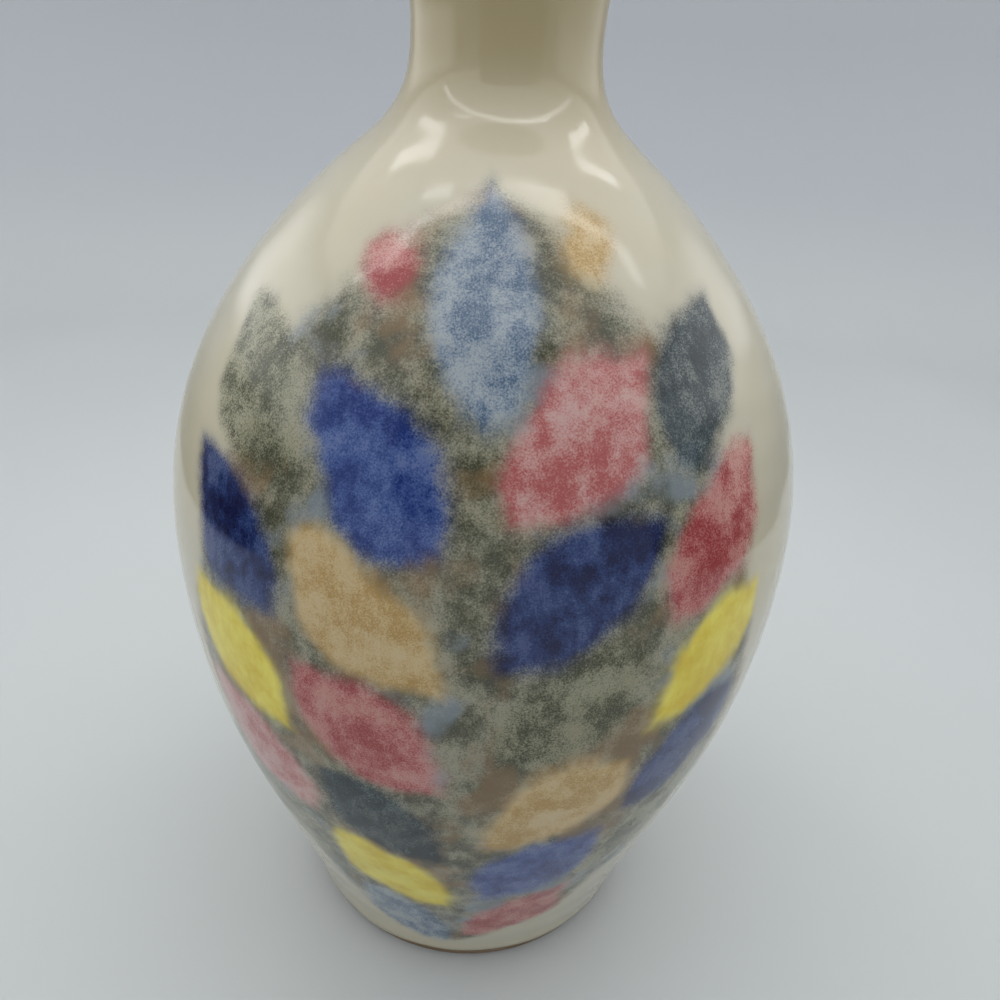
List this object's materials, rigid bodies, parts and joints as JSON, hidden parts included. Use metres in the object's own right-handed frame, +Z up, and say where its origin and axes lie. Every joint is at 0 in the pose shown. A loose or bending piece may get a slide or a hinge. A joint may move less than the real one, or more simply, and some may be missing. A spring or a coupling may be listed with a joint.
{
  "type": "vase",
  "caption": "Hand-thrown bottle vase with a swelling belly, narrow neck, flared lip and turned foot ring, cream-glazed in and out with a brushed leaf spray on the front.",
  "frame": {"origin": "centre of the foot, on the surface that the vase stands on", "axes": "+Z up the axis of the vase, -Y towards the painted front, +X to the right of someone facing that front"},
  "size_m": [0.124, 0.124, 0.2],
  "materials": {
    "fired_clay": "bare fired stoneware, fine grit and turning marks",
    "fired_slip": "bare fired slip",
    "cream_glaze": "gloss cream glaze",
    "liner_glaze": "gloss cream glaze",
    "navy_wash": "gloss, soft-edged oxide wash",
    "cobalt_wash": "gloss, soft-edged oxide wash",
    "slate_wash": "gloss, soft-edged oxide wash",
    "teal_wash": "gloss, soft-edged oxide wash",
    "crimson_wash": "gloss, soft-edged oxide wash",
    "rose_wash": "gloss, soft-edged oxide wash",
    "yellow_wash": "gloss, soft-edged oxide wash",
    "ochre_wash": "gloss, soft-edged oxide wash",
    "olive_wash": "gloss, soft-edged oxide wash"
  },
  "bodies": {
    "root": {"thrown_body": "fired_clay", "thrown_neck": "fired_clay", "luting_slip": "fired_slip", "outer_glaze": "cream_glaze", "liner_glaze": "liner_glaze", "navy_washes": "navy_wash", "cobalt_washes": "cobalt_wash", "slate_washes": "slate_wash", "teal_washes": "teal_wash", "crimson_washes": "crimson_wash", "rose_washes": "rose_wash", "yellow_washes": "yellow_wash", "ochre_washes": "ochre_wash", "olive_washes": "olive_wash"}
  },
  "joints": []
}
